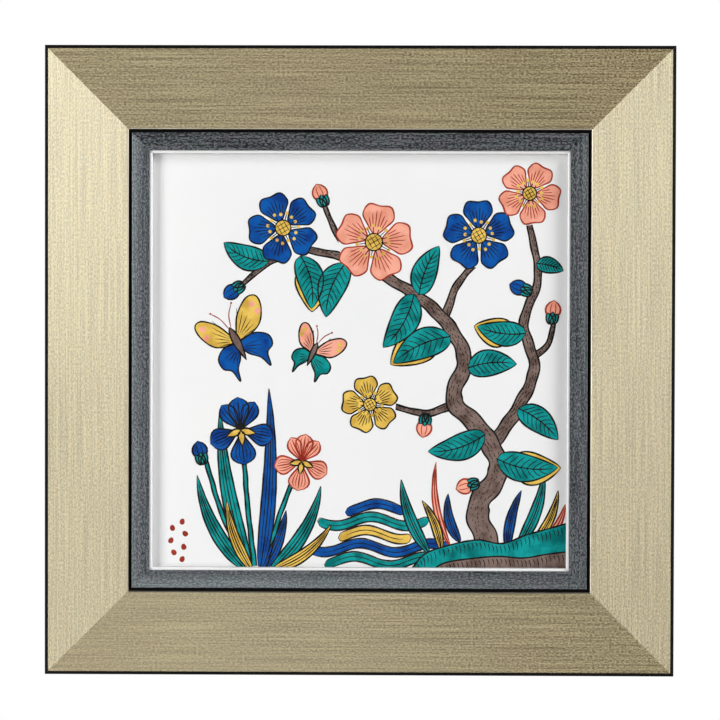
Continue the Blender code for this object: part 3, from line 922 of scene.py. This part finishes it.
def champagne_foil(streaks):
    """Pale gold foil, brushed along the length, so that it throws light sideways."""
    material, tree, shader = start_material("champagne gold foil, brushed")
    grain = place_group(tree, streaks, along_the_grain(tree))
    lines = weighted(tree, ((grain["Hairlines"], 0.38), (grain["Specks"], 0.62)))
    tone = ramp(tree, lines, [(0.41, (0.105, 0.045, 0.0)), (0.50, (0.345, 0.265, 0.126)),
                              (0.59, (0.585, 0.485, 0.268))])
    cast = ramp(tree, grain["Clouds"], [(0.35, (1.0, 0.965, 0.955)), (0.65, (0.97, 1.0, 0.965))])
    coat(tree, shader, mix_colors(tree, 1.0, tone, cast, "MULTIPLY"),
         in_range(tree, lines, 0.40, 0.56, 0.3, 0.7))
    set_inputs(shader, {"IOR": 2.8, "Specular IOR Level": 1.0, "Specular Tint": (1.0, 0.95, 0.73, 1)})
    brush_lengthwise(tree, shader, 0.9)
    bump(tree, shader, lines, 0.25, 0.05 * MM)
    return material


def rubbed_foil():
    """The same foil where handling has polished the eased inner edge."""
    material, tree, shader = start_material("champagne gold foil, rubbed bright")
    wear = noise(tree, in_place(tree), 70.0, 3.0)
    tone = ramp(tree, wear, [(0.3, (0.62, 0.55, 0.42)), (0.7, (0.74, 0.68, 0.55))])
    coat(tree, shader, tone, in_range(tree, wear, 0.30, 0.42))
    shader.inputs["Metallic"].default_value = 1.0
    return material


def black_paint():
    """Satin black paint with a faint brown undertone."""
    material, tree, shader = start_material("satin black paint")
    cloud = noise(tree, in_place(tree), 160.0, 4.0)
    tone = ramp(tree, cloud, [(0.3, (0.003, 0.0028, 0.0025)), (0.7, (0.009, 0.008, 0.007))])
    coat(tree, shader, tone, in_range(tree, cloud, 0.55, 0.70))
    shader.inputs["Specular IOR Level"].default_value = 0.1
    bump(tree, shader, noise(tree, in_place(tree), 2200.0, 2.0), 0.12, 0.05 * MM)
    return material


def bare_wood(streaks):
    """Pale softwood where the moulding is sawn and routed."""
    material, tree, shader = start_material("bare wood")
    grain = place_group(tree, streaks, in_place(tree))
    tone = ramp(tree, grain["Clouds"], [(0.3, (0.42, 0.27, 0.14)), (0.7, (0.60, 0.43, 0.25))])
    tree.links.new(tone, shader.inputs["Base Color"])
    shader.inputs["Roughness"].default_value = 0.75
    bump(tree, shader, grain["Hairlines"], 0.3, 0.1 * MM)
    return material


def slate_stain(streaks):
    """Slate grey with a mottled, streaky grain."""
    material, tree, shader = start_material("slate grey stain")
    vector = along_the_grain(tree)
    grain = place_group(tree, streaks, vector)
    mottle = noise(tree, stretch(tree, vector, (420, 1250, 1)), 1.0, 3.0, 0.65)
    pattern = weighted(tree, ((mottle, 0.3), (grain["Specks"], 0.5), (grain["Broad"], 0.2)))
    tone = ramp(tree, pattern, [(0.447, (0.004, 0.0043, 0.0045)), (0.5, (0.057, 0.057, 0.059)),
                                (0.553, (0.170, 0.171, 0.176))])
    cast = ramp(tree, noise(tree, stretch(tree, vector, (60, 190, 1)), 1.0, 2.0),
                [(0.38, (0.88, 1.0, 0.98)), (0.62, (1.0, 0.95, 1.07))])
    coat(tree, shader, mix_colors(tree, 1.0, tone, cast, "MULTIPLY"),
         in_range(tree, pattern, 0.28, 0.38, 0.35, 0.65))
    set_inputs(shader, {"IOR": 2.05, "Specular Tint": (0.84, 0.97, 1.0, 1)})
    brush_lengthwise(tree, shader, 0.5)
    bump(tree, shader, pattern, 0.4, 0.08 * MM)
    return material


def silver_finish(streaks):
    """Bright silver, polished along the strip."""
    material, tree, shader = start_material("bright silver")
    grain = place_group(tree, streaks, along_the_grain(tree))
    tone = ramp(tree, grain["Broad"], [(0.3, (0.95, 0.95, 0.945)), (0.7, (0.99, 0.99, 0.985))])
    coat(tree, shader, tone, in_range(tree, grain["Hairlines"], 0.24, 0.36))
    shader.inputs["Metallic"].default_value = 0.06
    return material


def painted_shade_flank(streaks):
    """Grey on the flank of the silver strip beside the tile, a darker copy of the silver as painted shade."""
    material, tree, shader = start_material("grey flank with painted shade")
    grain = place_group(tree, streaks, along_the_grain(tree))
    # Greyer than the silver: painted shade where the strip meets the tile
    tone = ramp(tree, grain["Broad"], [(0.3, (0.56, 0.56, 0.56)), (0.7, (0.64, 0.64, 0.64))])
    tree.links.new(tone, shader.inputs["Base Color"])
    shader.inputs["Roughness"].default_value = 0.6
    return material


def white_glaze():
    """Glossy white glaze with the gentle unevenness of a fired surface."""
    material, tree, shader = start_material("white glaze")
    place = in_place(tree)
    cloud = noise(tree, place, 18.0, 3.0)
    tone = ramp(tree, cloud, [(0.3, (0.866, 0.869, 0.869)), (0.7, (0.886, 0.886, 0.882))])
    coat(tree, shader, tone, in_range(tree, cloud, 0.05, 0.09))
    bump(tree, shader, noise(tree, place, 240.0, 2.0), 0.08, 0.2 * MM)
    return material


def enamel(name, deep, pale):
    """Glassy enamel that fired into deeper and paler pools."""
    material, tree, shader = start_material(name)
    place = in_place(tree)
    pools = noise(tree, place, 120.0, 3.0)
    coat(tree, shader, ramp(tree, pools, [(0.36, deep), (0.60, pale)]), in_range(tree, pools, 0.10, 0.18))
    bump(tree, shader, noise(tree, place, 700.0, 2.0), 0.12, 0.1 * MM)
    return material


def fire_the_enamels(art, glaze):
    """Give each colour of the picture its material and set it on the tile."""
    for color, form in art.forms.items():
        if color == "white":
            material = glaze
        else:
            material = enamel(f"{color} enamel", *ENAMEL_TONES[color])
        add_piece(f"enamel_{color}", form, [material], "white_glaze")


def brown_hardboard():
    """Pressed brown fibres, a little blotched."""
    material, tree, shader = start_material("brown hardboard")
    place = in_place(tree)
    fibres = noise(tree, place, 900.0, 5.0, 0.7)
    blotches = noise(tree, place, 22.0, 3.0)
    tone = ramp(tree, fibres, [(0.3, (0.13, 0.065, 0.032)), (0.7, (0.30, 0.17, 0.09))])
    cast = ramp(tree, blotches, [(0.3, (0.86, 0.86, 0.86)), (0.7, (1.0, 1.0, 1.0))])
    coat(tree, shader, mix_colors(tree, 1.0, tone, cast, "MULTIPLY"), in_range(tree, fibres, 0.6, 0.8))
    bump(tree, shader, fibres, 0.4, 0.1 * MM)
    return material


def zinc_plating():
    """Satin zinc with the cloudy look of its crystals."""
    material, tree, shader = start_material("zinc plating")
    place = in_place(tree)
    cloud = noise(tree, place, 260.0, 4.0, 0.6)
    tone = ramp(tree, cloud, [(0.3, (0.50, 0.50, 0.49)), (0.7, (0.70, 0.70, 0.68))])
    coat(tree, shader, tone, in_range(tree, cloud, 0.28, 0.45))
    shader.inputs["Metallic"].default_value = 1.0
    return material


# The stage


def place_camera():
    """A camera that looks along +Y with the photograph's small tilts."""
    data = bpy.data.cameras.new("camera")
    data.lens = LENS
    data.sensor_width = SENSOR_WIDTH
    camera = bpy.data.objects.new("camera", data)
    camera.location = (CAMERA_ACROSS, -CAMERA_DISTANCE, TILE_MIDDLE.z + CAMERA_ABOVE)
    camera.rotation_euler = [math.radians(turn) for turn in (90 + CAMERA_PITCH, CAMERA_ROLL, CAMERA_YAW)]
    bpy.context.scene.collection.objects.link(camera)
    bpy.context.scene.camera = camera


def softbox(name, place, width, height, power):
    """A rectangular light that faces the plaque's middle."""
    data = bpy.data.lights.new(name, "AREA")
    data.shape = "RECTANGLE"
    data.size = width
    data.size_y = height
    data.energy = power
    light = bpy.data.objects.new(name, data)
    light.location = place
    light.rotation_euler = (TILE_MIDDLE - Vector(place)).to_track_quat("-Z", "Y").to_euler()
    bpy.context.scene.collection.objects.link(light)


def light_the_studio():
    """Soft lights round the plaque, in a dim room that the camera sees as a white backdrop."""
    for name, values in LIGHTS.items():
        softbox(name, *values)
    world = bpy.data.worlds.new("studio")
    bpy.context.scene.world = world
    world.use_nodes = True
    tree = world.node_tree
    backdrop = mix_colors(tree, seen_by_camera(tree), (ROOM_LIGHT,) * 3, (1.0, 1.0, 1.0))
    tree.links.new(backdrop, tree.nodes["Background"].inputs["Color"])
    bpy.context.scene.view_settings.view_transform = "Standard"


def lay_the_floor():
    """A wide floor well below the plaque, kept pale by a glow that only the camera sees."""
    material, tree, shader = start_material("pale floor")
    shader.inputs["Base Color"].default_value = (0.80, 0.80, 0.79, 1)
    shader.inputs["Roughness"].default_value = 0.9
    shader.inputs["Emission Strength"].default_value = 1.0
    paleness = mix_colors(tree, seen_by_camera(tree), (0.0, 0.0, 0.0), (0.50, 0.50, 0.49))
    tree.links.new(paleness, shader.inputs["Emission Color"])
    form = bmesh.new()
    level = TILE_MIDDLE.z - FLOOR_BELOW
    form.faces.new([form.verts.new((x, y, level)) for x, y in FLOOR_CORNERS])
    floor = add_piece("floor", form, [material], None)


def build_the_frame():
    """Gold moulding, slate liner and silver strip on all four sides."""
    streaks = streaks_group()
    foil = champagne_foil(streaks)
    rubbed = rubbed_foil()
    paint = black_paint()
    wood = bare_wood(streaks)
    slate = slate_stain(streaks)
    silver = silver_finish(streaks)
    # The strip's flank gets a grey copy of the silver, painted shade beside the tile
    flank = painted_shade_flank(streaks)
    rails = {}
    for side in SIDES:
        rails[side] = mitred_length(f"frame_rail_{side}", rail_profile(), side, [foil, rubbed, paint, wood],
                                    "gold_moulding", rail_paint)
        mitred_length(f"liner_rail_{side}", liner_profile(), side, [slate], "slate_liner")
        mitred_length(f"fillet_{side}", fillet_profile(), side, [silver, flank],
                      "silver_fillet", fillet_paint)
    route_the_back(rails["top"], wood)


def finish_the_hardware():
    """The board, its screws and the hanger keep their solids and get their own finish."""
    board = brown_hardboard()
    zinc = zinc_plating()
    for name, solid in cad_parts.items():
        if name == "backing_board":
            solid.data.materials[0] = board
        elif "screw" in name or name == "hanger_plate":
            solid.data.materials[0] = zinc


place_camera()
light_the_studio()
lay_the_floor()
build_the_frame()
glaze = white_glaze()
ceramic_tile(glaze)
fire_the_enamels(paint_the_picture(), glaze)
finish_the_hardware()
